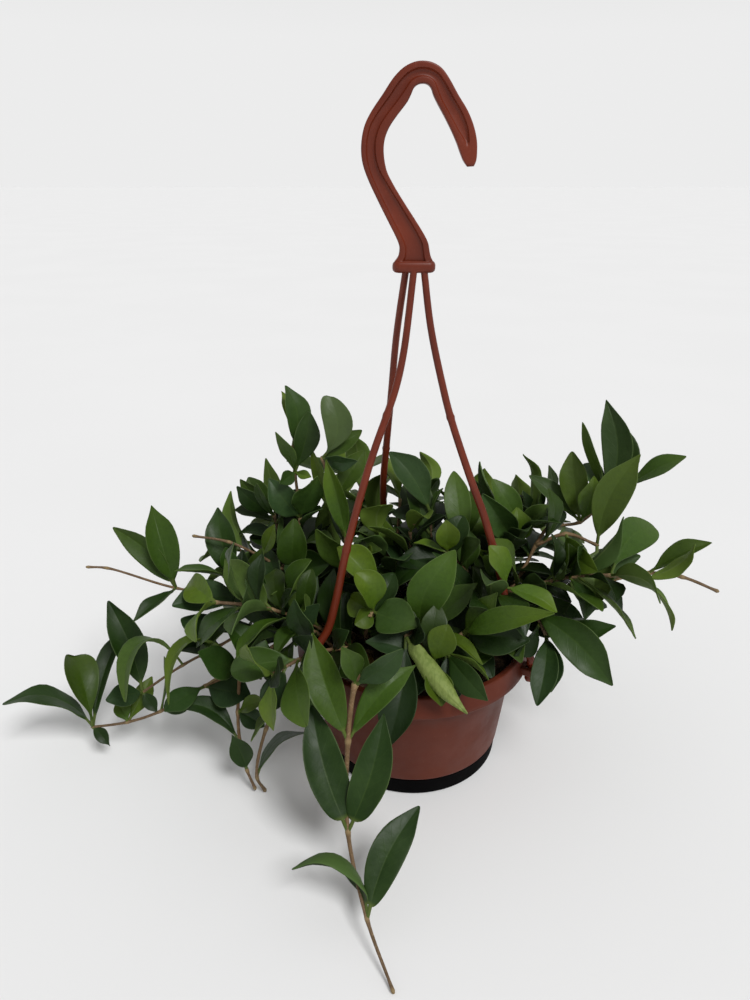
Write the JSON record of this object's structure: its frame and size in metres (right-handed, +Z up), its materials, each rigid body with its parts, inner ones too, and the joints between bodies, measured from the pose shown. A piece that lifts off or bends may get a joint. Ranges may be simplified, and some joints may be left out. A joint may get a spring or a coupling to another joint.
{
  "type": "potted lipstick plant",
  "caption": "Lipstick plant with arching and trailing leafy stems in a tapered plastic hanging pot with saucer and open-hook hanger, standing on a surface.",
  "frame": {"origin": "on the pot axis, at the underside of the saucer", "axes": "+Z up; +X along the longest spread of the stems, to the right in the picture; -Y toward the front trailing stem"},
  "size_m": [0.4518, 0.3442, 0.404],
  "materials": {
    "pot_plastic": "satin red-brown plastic",
    "saucer_plastic": "near-black satin plastic",
    "hanger_plastic": "satin terracotta plastic",
    "soil": "dark crumbly potting soil",
    "dead_leaf": "dry, yellow-brown",
    "dead_twig": "dry bark",
    "foliage": "waxy dark green leaves, lime when young, on brown stems"
  },
  "bodies": {
    "root": {"pot": "pot_plastic", "saucer": "saucer_plastic", "hanger": "hanger_plastic", "soil": "soil", "leaf_fallen": "dead_leaf", "twig_dry": "dead_twig", "stem_front_trail": "foliage", "stem_left_low": "foliage", "stem_left_mid": "foliage", "stem_left_out": "foliage", "stem_left_upper": "foliage", "stem_left_bare": "foliage", "stem_left_near": "foliage", "stem_hanging_pair": "foliage", "stem_top_left": "foliage", "stem_top_mid": "foliage", "stem_left_high": "foliage", "stem_rosette": "foliage", "stem_centre_back": "foliage", "stem_centre_round": "foliage", "stem_centre_right": "foliage", "stem_right_out": "foliage", "stem_right_low": "foliage", "stem_centre_front": "foliage", "stem_right_front": "foliage", "stem_side_1": "foliage", "stem_side_2": "foliage", "stem_side_4": "foliage", "stem_side_5": "foliage", "stem_front_1": "foliage", "stem_inner_1": "foliage", "stem_inner_2": "foliage", "stem_inner_3": "foliage", "stem_inner_4": "foliage", "stem_inner_5": "foliage", "stem_inner_7": "foliage", "stem_inner_8": "foliage", "stem_far_1": "foliage", "stem_far_2": "foliage", "stem_far_3": "foliage", "stem_far_4": "foliage", "stem_far_5": "foliage", "stem_far_6": "foliage", "stem_far_7": "foliage", "stem_far_8": "foliage", "stem_far_9": "foliage"}
  },
  "joints": []
}
